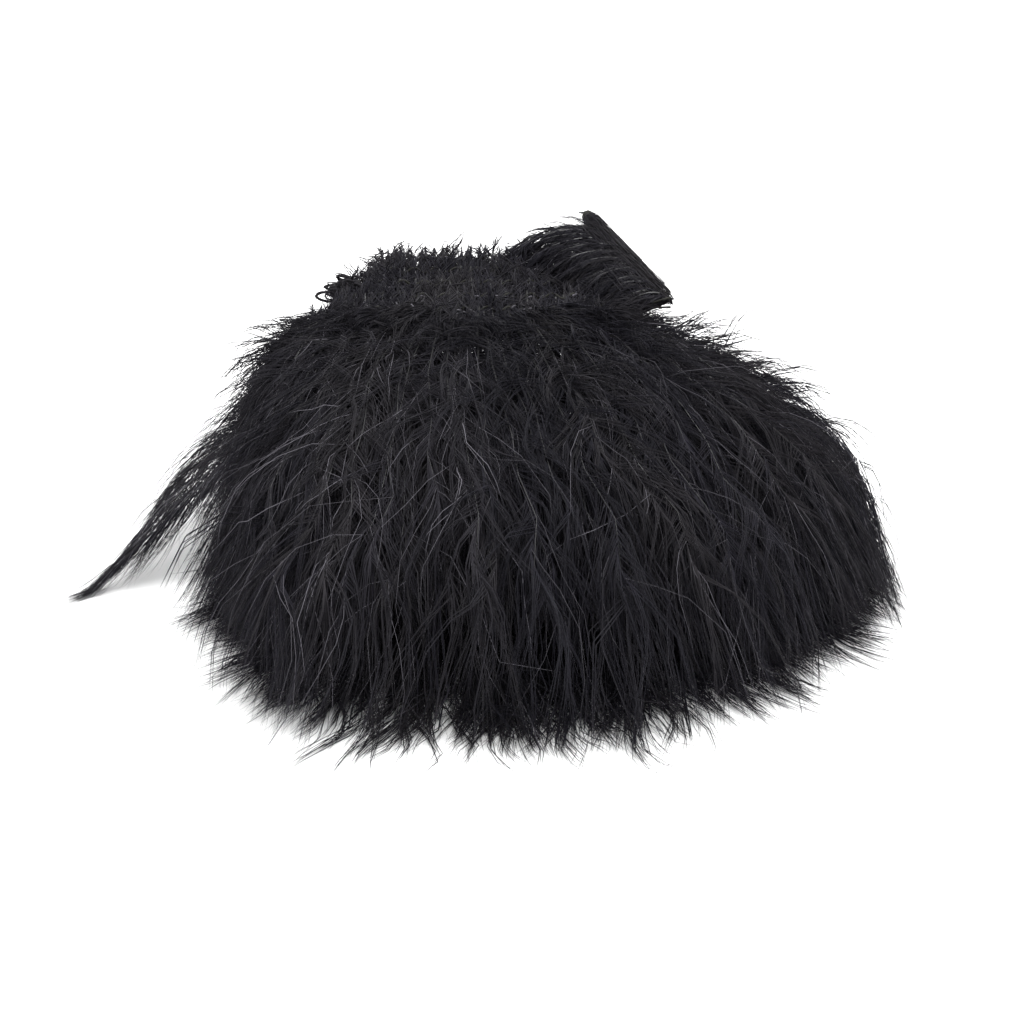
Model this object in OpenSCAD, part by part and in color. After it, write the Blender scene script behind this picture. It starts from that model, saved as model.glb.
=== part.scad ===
// Feather boa of strung marabou, wound up into a flattened coil and laid down on its plumes.
// Every plume is sewn by its quill into a chain stitch, and the stitched string makes five turns.
// The coil stands at the back (+Y) and the plumes pour out of it over the front and both sides.
// +Z is up. The origin is on the resting surface, under the middle of the whole object.

/* [Coil] */
// Half the width of the outermost turn
coil_half_w = 41; // [34:1:50]
// Half the height of the outermost turn
coil_half_h = 31; // [25:1:38]
// Bend radius of the outermost turn
bend_r = 13; // [10:1:16]
// Tightest bend of the string
least_bend_r = 3.4; // [2.8:0.2:4]
// Distance between two turns, measured across the string
turn_pitch = 4; // [3.4:0.1:4.2]
// How far each turn stands behind the next one out
turn_step = 8; // [6.6:0.2:9.6]
// Lean of the coil's axis
coil_tilt = 25; // [20:1:30]
// Height of the lowest stitching above the surface
coil_foot = 2.3; // [2:0.1:4]

/* [Plumes] */
// Distance between two quills along the string
plume_pitch = 5; // [4.2:0.2:6]
// Free length of a plume beyond the mouth of the coil
plume_len = 100; // [84:1:120]
// Reach of the longest front plumes from the middle of the skirt
front_reach = 77; // [66:1:92]
// Reach of the side plumes from the middle of the skirt, beyond half the width of the coil
side_beyond = 35; // [24:1:48]
// Height of the uppermost tips
skirt_h = 24; // [20:1:29]
// Angle from the front to the rearmost plume on the right
fan_right = 108; // [90:1:118]
// Angle from the front to the rearmost plume on the left
fan_left = 100; // [90:1:118]
// Downward turn of the uppermost tips
tip_droop = 42; // [30:1:50]
// Share of its pitch that a plume's down fills across the string
down_w_share = 0.72; // [0.6:0.04:0.8]
// Share of its layer that a plume's down fills in thickness
down_t_share = 0.74; // [0.55:0.05:0.8]
// Radius of a quill at the stitching
quill_r = 0.7; // [0.55:0.05:0.85]
// Length of the cut quill behind the stitching
butt_len = 6; // [4:0.5:6.6]
// Length of bare quill in front of the stitching
bare_len = 8; // [6.6:0.2:9.6]

/* [Thread] */
// Radius of a stitching thread
thread_r = 0.25; // [0.2:0.05:0.3]
// Room between a thread and the quills that turn in it
thread_gap = 0.3; // [0.25:0.05:0.4]
// Radius of the knots
knot_r = 2.2; // [1.9:0.1:2.6]
// Length of the knots
knot_len = 4; // [3.3:0.1:4.8]

/* [String end] */
// Number of short plumes on the loose end
end_count = 8; // [6:1:9]
// Length of the short plumes
end_plume_len = 20; // [16:1:24]

/* [Stray plume] */
// Half the width of the stray plume at its widest
stray_half_w = 4.5; // [3.5:0.5:5.5]
// Half its thickness there
stray_half_t = 2; // [1.5:0.25:2.5]

/* [Hidden] */

RIGHT = 0;
BOTTOM = 1;
LEFT = 2;
TOP = 3;

turns = 5;
first_run = 2;
last_run = 4 * turns - 1;

// The top of the outermost turn, and the middle of the fan of tips
coil_top = [
    4,
    29.5,
    coil_foot + (2 * coil_half_h - turn_pitch / 2) * cos(coil_tilt) - turn_step / 2 * sin(coil_tilt)
];
skirt_mid = [17, -5.5];
low_tip_z = -0.8;

// How a plume leaves the coil: sideways splay, outward lift, and how stiffly it holds its direction
splay = 1.3;
lift = 0.55;
forward_loss = 0.25;
hold_mid = 42;
hold_side = 28;
land_mid = 36;
land_side = 24;
tip_draw = 0.55;
// The plumes of the two sides draw together in height, which leaves them room to swing out
side_gather = 0.34;
// Share of their droop that the plumes of each side lose
left_flat = 0.7;
right_flat = -0.15;

axis_v = [0, cos(coil_tilt), sin(coil_tilt)];
up_v = [0, -sin(coil_tilt), cos(coil_tilt)];
side_v = [1, 0, 0];

sides = 6;
thread_off = quill_r + thread_gap + thread_r;
thread_lead = 2.4;
fold_gap = 0.5;

function unit(v) = v / norm(v);
function mix(a, b, f) = a + (b - a) * f;

// Size of the turn that is k turns in from the outermost one
function half_w(k) = coil_half_w - turn_pitch * k;
function half_h(k) = coil_half_h - turn_pitch * k;
function turn_bend(k) = max(bend_r - turn_pitch * k, least_bend_r);
function turns_in(run) = (last_run - run) / 4;

// Seats on the string are [across, up, turns in, outward angle] in the coil's own plane.
// A run is one straight side of a turn, and the bend before it has the same number.
function run_seat(run, f) =
    let (k = turns_in(run), a = half_w(k) - turn_bend(k), b = half_h(k) - turn_bend(k), side = run % 4)
    side == RIGHT ? [half_w(k), mix(b, -b, f), k, 0] :
    side == BOTTOM ? [mix(a, -a, f), -half_h(k), k, -90] :
    side == LEFT ? [-half_w(k), mix(-b, b, f), k, 180] :
    [mix(-a, a, f), half_h(k), k, 90];

function bend_seat(run, f) =
    let (
        k = turns_in(run) + (1 - f) / 4,
        r = turn_bend(k),
        side = run % 4,
        angle = 90 - 90 * (side + f),
        across = (side == RIGHT || side == BOTTOM) ? 1 : -1,
        up = (side == RIGHT || side == TOP) ? 1 : -1
    )
    [across * (half_w(k) - r) + r * cos(angle), up * (half_h(k) - r) + r * sin(angle), k, angle];

function run_length(run) =
    let (k = turns_in(run), r = turn_bend(k), side = run % 4)
    2 * ((side == RIGHT || side == LEFT) ? half_h(k) - r : half_w(k) - r);
function bend_length(run) = PI / 2 * turn_bend(turns_in(run));

// Quills stand half a pitch in from both ends of a run, and evenly round a bend
function run_seats(run) =
    let (n = max(1, round(run_length(run) / plume_pitch)))
    [for (i = [0 : n - 1]) run_seat(run, (i + 0.5) / n)];
function bend_seats(run) =
    let (n = max(1, round(bend_length(run) / plume_pitch)))
    [for (i = [0 : n - 1]) bend_seat(run, (i + 0.5) / n)];

// The field of plumes: a place in the mouth of the coil, and how far along the plume from there
function mouth(x, z) = coil_top + x * side_v + (z - coil_half_h) * up_v;

function tip_height(zs) = mix(low_tip_z, skirt_h, (zs + 1) / 2);

function free_point(x, z, k, v, gather) =
    let (
        xs = x / coil_half_w,
        zs = z / coil_half_h,
        k0 = mouth(x, z),
        out = unit(-axis_v * (1 - forward_loss * abs(xs)) + splay * xs * side_v + lift * zs * gather * up_v),
        c1 = k0 + mix(hold_mid, hold_side, xs * xs) * out,
        tip_z = tip_height(zs * gather),
        k1 = [c1.x, c1.y, max(c1.z, tip_z)],
        phi = xs * (xs > 0 ? fan_right : fan_left),
        rho = mix(front_reach, coil_half_w + side_beyond, xs * xs) - tip_draw * turn_step * k,
        k3 = [skirt_mid.x + rho * sin(phi), skirt_mid.y - rho * cos(phi), tip_z],
        fall = tip_droop * (1 - (xs > 0 ? right_flat : left_flat) * xs * xs) * (zs + 1) / 2,
        land = [sin(phi) * cos(fall), -cos(phi) * cos(fall), -sin(fall)],
        k2 = k3 - mix(land_mid, land_side, xs * xs) * land,
        w = 1 - v
    )
    w * w * w * k0 + 3 * w * w * v * k1 + 3 * w * v * v * k2 + v * v * v * k3;

// s runs from the stitching; an inner turn's plumes first pass straight through the turns outside it
function plume_point(x, z, k, s, gather) =
    s < turn_step * k ? mouth(x, z) + (turn_step * k - s) * axis_v
                      : free_point(x, z, k, (s - turn_step * k) / plume_len, gather);

function on_floor(p) = [p.x, p.y, max(p.z, 0)];

// A ring of points round a place; a and b are its two half axes
function ring(place, a, b) =
    [for (i = [0 : sides - 1]) place + cos(360 * i / sides) * a + sin(360 * i / sides) * b];

// One cross-section of a plume: bare quill near the string, full down along the middle, a blunt tip
full_from = 34;
taper_from = 0.72;
tip_share = 0.3;
function fullness(s) =
    s < bare_len ? 0 : min(1, (s - bare_len) / (full_from - bare_len));
function taper(s, total) =
    s < taper_from * total ? 1 : mix(1, tip_share, (s - taper_from * total) / ((1 - taper_from) * total));

function section(seat, s, total) =
    let (
        x = seat[0],
        z = seat[1],
        k = seat[2],
        n = [cos(seat[3]), sin(seat[3])],
        t = [-n.y, n.x],
        dw = plume_pitch / 2 * down_w_share,
        dt = turn_pitch / 2 * down_t_share,
        g = (seat[3] == 0 || seat[3] == 180) ? side_gather : 1,
        ahead = max(s, 0),
        here = plume_point(x, z, k, ahead, g) + min(s, 0) * -axis_v,
        wide = (plume_point(x + t.x * dw, z + t.y * dw, k, ahead, g)
            - plume_point(x - t.x * dw, z - t.y * dw, k, ahead, g)) / 2,
        thick = (plume_point(x + n.x * dt, z + n.y * dt, k, ahead, g)
            - plume_point(x - n.x * dt, z - n.y * dt, k, ahead, g)) / 2,
        f = fullness(s),
        c = taper(s, total),
        w = mix(quill_r * unit(wide), wide, f) * c,
        h = mix(quill_r * unit(thick), thick, f) * c
    )
    [for (p = ring(here, w, h)) on_floor(p)];

// Skin over a list of rings of points, closed at both ends
module skin(rings) {
    n = len(rings[0]);
    m = len(rings);
    points = [for (r = rings) each r];
    walls = [for (j = [0 : m - 2], i = [0 : n - 1])
        let (a = j * n + i, b = j * n + (i + 1) % n) each [[a, b, b + n], [a, b + n, a + n]]];
    caps = [[for (i = [n - 1 : -1 : 0]) i], [for (i = [0 : n - 1]) (m - 1) * n + i]];
    polyhedron(points, concat(walls, caps), convexity = 6);
}

// Stations along a plume, as lengths from the stitching, closest together where it leaves the coil
free_shares = [0.2, 0.4, 0.6, 0.8, 1];
function stations(lead) = concat(
    [-butt_len, 0, bare_len],
    lead > bare_len ? [lead] : [],
    [for (f = free_shares) lead + f * plume_len]
);

module plume(seat) {
    lead = turn_step * seat[2];
    skin([for (s = stations(lead)) section(seat, s, lead + plume_len)]);
}

module run_plumes(turn, side) {
    run = 4 * (turn - 1) + side;
    seats = run_seats(run);
    color([0.16, 0.15, 0.17])
        for (i = [0 : len(seats) - 1])
            if (run != stray_run || i != stray_place(seats)) plume(seats[i]);
}

module bend_plumes(turn) {
    color([0.14, 0.135, 0.155])
        for (run = [max(first_run + 1, 4 * (turn - 1)) : 4 * turn - 1], seat = bend_seats(run)) plume(seat);
}

// The loose end of the string leaves the outermost top run, folds back over the right shoulder of the
// coil and ends in a peak behind it. Its plumes are short and lie flat over the turns underneath.
fold_out = 2;
fold_lift = 3;
peak_in = 14;
peak_back = 5.2 * turn_step;
peak_lift = 6;
end_fold = coil_top + [coil_half_w + fold_out, 0, fold_lift];
end_peak = coil_top + [coil_half_w - peak_in, peak_back, peak_lift];
end_along = unit(end_peak - end_fold);
end_lie = unit([-0.95, -0.2, 0]);
end_up = unit(cross(end_along, end_lie));

// Place of the first short plume between fold and peak, and its length as a share of the longest
end_first = 0.25;
end_least = 0.45;
end_half_w = 1.8;
end_half_t = 0.8;
end_bare = 2.5;
end_butt = 2;
// Stations along a short plume as shares of its length, and how full its down is at each
end_shares = [0.5, 0.8, 1];
end_fill = [1, 0.9, 0.3];

function end_place(i) = mix(end_fold, end_peak, mix(end_first, 1, i / (end_count - 1)));

module loose_end_plumes() {
    color([0.18, 0.175, 0.2])
        for (i = [0 : end_count - 1]) {
            length = end_plume_len * mix(end_least, 1, i / (end_count - 1));
            stations = concat([-end_butt, end_bare], end_shares * length);
            fill = concat([0, 0], end_fill);
            skin([for (j = [0 : len(stations) - 1])
                ring(
                    end_place(i) + stations[j] * end_lie,
                    mix(quill_r, end_half_w, fill[j]) * end_along,
                    mix(quill_r, end_half_t, fill[j]) * end_up
                )]);
        }
}

// One plume of the outermost left side lies apart from the rest, down to the resting surface.
// Its route is given from the place where it is stitched.
stray_run = last_run - 1;
function stray_place(seats) = floor(len(seats) / 2);
stray_route = [
    [-0.8, -3, -1.4], [-8, -6, -3], [-17, -11, -5], [-24, -20, -8],
    [-33, -34, -13], [-43, -46, -20.5], [-53.5, -55, -27]
];
stray_fill = [0, 0.1, 0.4, 0.9, 1, 0.8, 0.25];

module stray_plume() {
    seats = run_seats(stray_run);
    seat = seats[stray_place(seats)];
    root = seat_frame(seat)[0];
    route = concat([root + butt_len * axis_v, root], [for (p = stray_route) root + p]);
    fill = concat([0, 0], stray_fill);
    n = len(route);
    color([0.16, 0.155, 0.175])
        skin([for (i = [0 : n - 1])
            let (
                t = unit(route[min(i + 1, n - 1)] - route[max(i - 1, 0)]),
                a = unit(cross(t, [0, 0, 1])),
                w = mix(quill_r, stray_half_w, fill[i]),
                h = mix(quill_r, stray_half_t, fill[i])
            )
            [for (p = ring(route[i], w * a, h * cross(a, t))) on_floor(p)]]);
}

// Where the threads cross a quill: [point, outward direction, direction along the quill].
function seat_frame(seat) =
    [
        mouth(seat[0], seat[1]) + turn_step * seat[2] * axis_v,
        cos(seat[3]) * side_v + sin(seat[3]) * up_v,
        axis_v
    ];

// The coil's quills from the innermost one to the last one before the fold
coil_frames = [
    for (run = [first_run : last_run])
        for (seat = concat(run == first_run ? [] : bend_seats(run), run_seats(run))) seat_frame(seat)
];
start_dir = unit(coil_frames[0][0] - coil_frames[1][0]);
end_frames = [for (i = [0 : end_count - 1]) [end_place(i), end_up, end_lie]];

// A stitching thread through a row of frames; off is its distance outwards from the quills' centres
module thread(frames, off) {
    skin([for (frame = frames) ring(frame[0] + off * frame[1], thread_r * frame[1], thread_r * frame[2])]);
}

// The coil's threads start at the first knot and run out to the fold
module coil_thread(off) {
    thread(concat(
        [[coil_frames[0][0] + thread_lead * start_dir, coil_frames[0][1], coil_frames[0][2]]],
        coil_frames,
        [[end_fold - fold_gap * end_along, end_up, end_lie]]
    ), off);
}

// The loose end's threads start at the fold and run up to the last knot
module end_thread(off) {
    thread(concat(
        [[end_fold, end_up, end_lie]],
        end_frames,
        [[end_peak + thread_lead * end_along, end_up, end_lie]]
    ), off);
}

module needle_thread() { color([0.1, 0.1, 0.11]) coil_thread(thread_off); }
module looper_thread() { color([0.09, 0.09, 0.1]) coil_thread(-thread_off); }
module loose_end_needle_thread() { color([0.1, 0.1, 0.11]) end_thread(thread_off); }
module loose_end_looper_thread() { color([0.09, 0.09, 0.1]) end_thread(-thread_off); }

// A knot is a short barrel across the string, with both threads running up to its flat face
knot_gap = 0.05;
knot_face = 0.8;
knot_shoulder = 0.3;

module knot(place, dir) {
    d = unit(dir);
    color([0.08, 0.08, 0.09])
        translate(place + (thread_lead + knot_gap) * d)
            rotate([0, acos(d.z), atan2(d.y, d.x)])
                rotate_extrude($fn = 32)
                    polygon([
                        [0, 0], [knot_face * knot_r, 0],
                        [knot_r, knot_shoulder * knot_len], [knot_r, (1 - knot_shoulder) * knot_len],
                        [knot_face * knot_r, knot_len], [0, knot_len]
                    ]);
}

module start_knot() { knot(coil_frames[0][0], start_dir); }
module end_knot() { knot(end_peak, end_along); }

run_plumes(1, TOP);  // turn_1_top_plumes
run_plumes(1, LEFT);  // turn_1_left_plumes
bend_plumes(1);  // turn_1_bend_plumes
run_plumes(2, TOP);  // turn_2_top_plumes
run_plumes(2, RIGHT);  // turn_2_right_plumes
run_plumes(2, BOTTOM);  // turn_2_bottom_plumes
run_plumes(2, LEFT);  // turn_2_left_plumes
bend_plumes(2);  // turn_2_bend_plumes
run_plumes(3, TOP);  // turn_3_top_plumes
run_plumes(3, RIGHT);  // turn_3_right_plumes
run_plumes(3, BOTTOM);  // turn_3_bottom_plumes
run_plumes(3, LEFT);  // turn_3_left_plumes
bend_plumes(3);  // turn_3_bend_plumes
run_plumes(4, TOP);  // turn_4_top_plumes
run_plumes(4, RIGHT);  // turn_4_right_plumes
run_plumes(4, BOTTOM);  // turn_4_bottom_plumes
run_plumes(4, LEFT);  // turn_4_left_plumes
bend_plumes(4);  // turn_4_bend_plumes
run_plumes(5, TOP);  // turn_5_top_plumes
run_plumes(5, RIGHT);  // turn_5_right_plumes
run_plumes(5, BOTTOM);  // turn_5_bottom_plumes
run_plumes(5, LEFT);  // turn_5_left_plumes
bend_plumes(5);  // turn_5_bend_plumes
loose_end_plumes();
stray_plume();
loose_end_needle_thread();
loose_end_looper_thread();
needle_thread();
looper_thread();
start_knot();
end_knot();
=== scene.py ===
"""A feather boa of strung marabou, wound into a flattened coil and laid down on its plumes.

The threads and knots of the string come first, then the plumes that it holds, run by run from
the innermost turn to the outermost, and last the loose end, the loose down and the stray plume.
"""

import math

import bpy
import numpy as np
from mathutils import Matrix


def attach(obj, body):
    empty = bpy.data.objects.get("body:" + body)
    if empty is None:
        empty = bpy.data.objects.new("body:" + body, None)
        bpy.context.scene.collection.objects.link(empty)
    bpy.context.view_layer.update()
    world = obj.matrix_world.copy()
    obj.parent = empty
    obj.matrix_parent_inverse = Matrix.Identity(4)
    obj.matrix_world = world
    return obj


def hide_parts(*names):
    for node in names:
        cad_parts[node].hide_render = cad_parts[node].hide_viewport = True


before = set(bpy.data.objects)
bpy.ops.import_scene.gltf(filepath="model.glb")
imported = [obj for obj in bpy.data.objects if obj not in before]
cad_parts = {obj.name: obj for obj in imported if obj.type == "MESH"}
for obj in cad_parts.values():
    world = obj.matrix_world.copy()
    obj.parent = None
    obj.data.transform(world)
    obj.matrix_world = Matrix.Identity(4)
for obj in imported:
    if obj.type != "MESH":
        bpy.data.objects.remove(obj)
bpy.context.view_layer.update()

# ---------------------------------------------------------------------------------------------
# Studio: a pale seamless floor under one large soft lamp, with a weaker one to each side.
# The camera looks down on the front of the boa from a little above.
# ---------------------------------------------------------------------------------------------

for leftover in bpy.context.selected_objects:
    leftover.select_set(False)

look_at = np.array([0.0113, -0.0105, 0.0213])
look_down = math.radians(26)
look_from = look_at + 0.7 * np.array([0, -math.cos(look_down), math.sin(look_down)])

camera_data = bpy.data.cameras.new("studio_camera")
camera_data.lens = 107.55
camera_data.sensor_width = 36
camera = bpy.data.objects.new("studio_camera", camera_data)
camera.location = look_from
camera.rotation_euler = (math.pi / 2 - look_down, 0, 0)
bpy.context.scene.collection.objects.link(camera)
bpy.context.scene.camera = camera

bpy.ops.mesh.primitive_circle_add(vertices=96, radius=4, fill_type="NGON", location=(0, 0, 0))
floor = bpy.context.object
floor.name = "studio_floor"
paper = bpy.data.materials.new("studio_paper")
paper.use_nodes = True
paper.node_tree.nodes["Principled BSDF"].inputs["Base Color"].default_value = (0.9, 0.9, 0.9, 1)
paper.node_tree.nodes["Principled BSDF"].inputs["Roughness"].default_value = 0.9
floor.data.materials.append(paper)

studio_air = bpy.data.worlds.new("studio_air")
bpy.context.scene.world = studio_air
studio_air.use_nodes = True
studio_air.node_tree.nodes["Background"].inputs["Color"].default_value = (1, 1, 1, 1)
studio_air.node_tree.nodes["Background"].inputs["Strength"].default_value = 0.96
bpy.context.scene.view_settings.view_transform = "Standard"


def softbox(name, place, aim, size, watts):
    lamp_data = bpy.data.lights.new(name, "AREA")
    lamp_data.shape = "RECTANGLE"
    lamp_data.size = size[0]
    lamp_data.size_y = size[1]
    lamp_data.energy = watts
    lamp = bpy.data.objects.new(name, lamp_data)
    lamp.location = place
    toward = np.array(aim) - np.array(place)
    flat = math.hypot(toward[0], toward[1])
    lamp.rotation_euler = (math.atan2(flat, -toward[2]), 0, math.atan2(-toward[0], toward[1]))
    bpy.context.scene.collection.objects.link(lamp)


softbox("softbox_above", (0.1, 0.05, 1.1), (0, 0, 0), (1.0, 0.8), 18)
softbox("softbox_left", (-1.0, -0.5, 0.6), (0, 0, 0.02), (0.6, 0.8), 4)
softbox("softbox_right", (1.0, -0.3, 0.7), (0, 0, 0.02), (0.6, 0.8), 5)

# ---------------------------------------------------------------------------------------------
# The string: two black cotton threads, chain stitched over and under a row of quills.
# It is wound inwards in five rounded, oblong turns, each a step behind the one outside it.
# ---------------------------------------------------------------------------------------------

coil_half_w = 0.041
coil_half_h = 0.031
bend_r = 0.013
least_bend_r = 0.0034
turn_pitch = 0.004
turn_step = 0.008
coil_tilt = math.radians(25)
coil_foot = 0.0023
quill_pitch = 0.005
quill_r = 0.0007
thread_r = 0.00025
thread_off = quill_r + 0.0003 + thread_r
RIGHT, BOTTOM, LEFT, TOP = 0, 1, 2, 3
FIRST_RUN, LAST_RUN = 2, 19

side_v = np.array([1.0, 0.0, 0.0])
axis_v = np.array([0.0, math.cos(coil_tilt), math.sin(coil_tilt)])
up_v = np.array([0.0, -math.sin(coil_tilt), math.cos(coil_tilt)])
coil_across, coil_back = 0.004, 0.0295
coil_rise = (2 * coil_half_h - turn_pitch / 2) * math.cos(coil_tilt) - turn_step / 2 * math.sin(coil_tilt)
coil_top = np.array([coil_across, coil_back, coil_foot + coil_rise])


def unit(v):
    return v / np.maximum(np.linalg.norm(v, axis=-1, keepdims=True), 1e-12)


def mix(a, b, f):
    return a + (b - a) * f


def turn_size(k):
    """Half width, half height and bend radius of the turn that is k turns in."""
    return (
        coil_half_w - turn_pitch * k,
        coil_half_h - turn_pitch * k,
        max(bend_r - turn_pitch * k, least_bend_r),
    )


def run_seats(run):
    """Seats along one straight side of a turn: across, up, turns in, outward angle."""
    k = (LAST_RUN - run) / 4
    w, h, r = turn_size(k)
    side = run % 4
    length = 2 * (h - r if side in (RIGHT, LEFT) else w - r)
    n = max(1, math.floor(length / quill_pitch + 0.5))
    seats = []
    for i in range(n):
        f = (i + 0.5) / n
        seats.append({
            RIGHT: (w, mix(h - r, r - h, f), k, 0),
            BOTTOM: (mix(w - r, r - w, f), -h, k, -90),
            LEFT: (-w, mix(r - h, h - r, f), k, 180),
            TOP: (mix(r - w, w - r, f), h, k, 90),
        }[side])
    return seats


def bend_seats(run):
    """Seats round the bend before a run, where the turn also gives way to the next one out."""
    side = run % 4
    n = max(1, math.floor(math.pi / 2 * turn_size((LAST_RUN - run) / 4)[2] / quill_pitch + 0.5))
    seats = []
    for i in range(n):
        f = (i + 0.5) / n
        k = (LAST_RUN - run) / 4 + (1 - f) / 4
        w, h, r = turn_size(k)
        angle = 90 - 90 * (side + f)
        across = 1 if side in (RIGHT, BOTTOM) else -1
        up = 1 if side in (RIGHT, TOP) else -1
        turned = math.radians(angle)
        seats.append((
            across * (w - r) + r * math.cos(turned),
            up * (h - r) + r * math.sin(turned),
            k,
            angle,
        ))
    return seats


def mouth(x, z):
    return coil_top + np.multiply.outer(x, side_v) + np.multiply.outer(np.asarray(z) - coil_half_h, up_v)


def stitch_frames(seats):
    """Where the threads cross each quill, the way out of the coil there, and the quill's own direction."""
    x, z, k, angle = np.array(seats, float).T
    turned = np.radians(angle)
    out = np.multiply.outer(np.cos(turned), side_v) + np.multiply.outer(np.sin(turned), up_v)
    return mouth(x, z) + np.multiply.outer(turn_step * k, axis_v), out, np.tile(axis_v, (len(x), 1))


def tube(path, radii, sides, lobes=0.0, twist=0.0):
    """Rings of points round a path. With lobes, it is round like two plied strands, turning as it goes."""
    along = unit(np.gradient(path, axis=0))
    normal = np.cross(along[0], [0.3, 0.5, 0.8])
    frames = []
    for t in along:
        normal = unit(normal - t * np.dot(normal, t))
        frames.append((normal, np.cross(t, normal)))
    gone = np.concatenate([[0], np.cumsum(np.linalg.norm(np.diff(path, axis=0), axis=1))])
    rings = []
    for i, (a, b) in enumerate(frames):
        angle = np.arange(sides) * 2 * math.pi / sides
        r = radii[i] * (1 + lobes * np.cos(2 * (angle - twist * gone[i])))
        rings.append(path[i] + np.outer(r * np.cos(angle), a) + np.outer(r * np.sin(angle), b))
    return np.array(rings), gone


def skin(rings, v, u):
    """Corner points, faces and map places of a tube with closed ends. u is (start, width) across the map."""
    m, n = rings.shape[:2]
    faces = [tuple(range(n - 1, -1, -1))]
    for i in range(m - 1):
        near, far = i * n, (i + 1) * n
        faces += [(near + j, near + (j + 1) % n, far + (j + 1) % n, far + j) for j in range(n)]
    faces.append(tuple((m - 1) * n + j for j in range(n)))
    across = u[0] + u[1] * np.abs(np.linspace(-1, 1, n, endpoint=False))
    places = np.stack([np.tile(across, m), np.repeat(v, n)], axis=1)
    return rings.reshape(-1, 3), faces, places


def object_from(name, bits, materials):
    """One object from several bits of (points, faces, map places, material number)."""
    points = np.concatenate([bit[0] for bit in bits])
    places = np.concatenate([bit[2] for bit in bits])
    corners, totals, numbers = [], [], []
    start = 0
    for bit_points, bit_faces, _, number in bits:
        if isinstance(bit_faces, list):
            corners.append(np.concatenate([np.array(face) for face in bit_faces]) + start)
            totals.append(np.array([len(face) for face in bit_faces]))
        else:
            corners.append(bit_faces[0] + start)
            totals.append(bit_faces[1])
        numbers.append(np.full(len(totals[-1]), number))
        start += len(bit_points)
    corners, totals, numbers = map(np.concatenate, (corners, totals, numbers))
    mesh = bpy.data.meshes.new(name)
    mesh.vertices.add(len(points))
    mesh.vertices.foreach_set("co", points.astype(np.float32).ravel())
    mesh.loops.add(len(corners))
    mesh.loops.foreach_set("vertex_index", corners.astype(np.int32))
    mesh.polygons.add(len(totals))
    mesh.polygons.foreach_set("loop_start", np.concatenate([[0], np.cumsum(totals)[:-1]]).astype(np.int32))
    mesh.polygons.foreach_set("material_index", numbers.astype(np.int32))
    mesh.polygons.foreach_set("use_smooth", np.ones(len(totals), bool))
    uv_map = mesh.uv_layers.new(name="OFBake")
    uv_map.data.foreach_set("uv", places[corners].astype(np.float32).ravel())
    mesh.update()
    for material in materials:
        mesh.materials.append(material)
    piece = bpy.data.objects.new(name, mesh)
    bpy.context.scene.collection.objects.link(piece)
    return piece


def new_group(name, inputs, outputs):
    """An empty node group with these sockets, and its two end nodes."""
    group = bpy.data.node_groups.new(name, "ShaderNodeTree")
    for socket, kind, value in inputs:
        made = group.interface.new_socket(socket, in_out="INPUT", socket_type=kind)
        made.default_value = value
    for socket, kind in outputs:
        group.interface.new_socket(socket, in_out="OUTPUT", socket_type=kind)
    return group, group.nodes.new("NodeGroupInput"), group.nodes.new("NodeGroupOutput")


def math_node(tree, operation, a, b=0.0):
    node = tree.nodes.new("ShaderNodeMath")
    node.operation = operation
    for socket, value in zip(node.inputs, (a, b)):
        if isinstance(value, (int, float)):
            socket.default_value = value
        else:
            tree.links.new(value, socket)
    return node.outputs[0]


# Every fibre has a lane of its own across the map, and runs up the map from root to tip.
# The lanes give each fibre its own tone, in families of sixteen that belong to one feather; the last two
# lanes of each family carry a painted highlight.
LANES = 256


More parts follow.
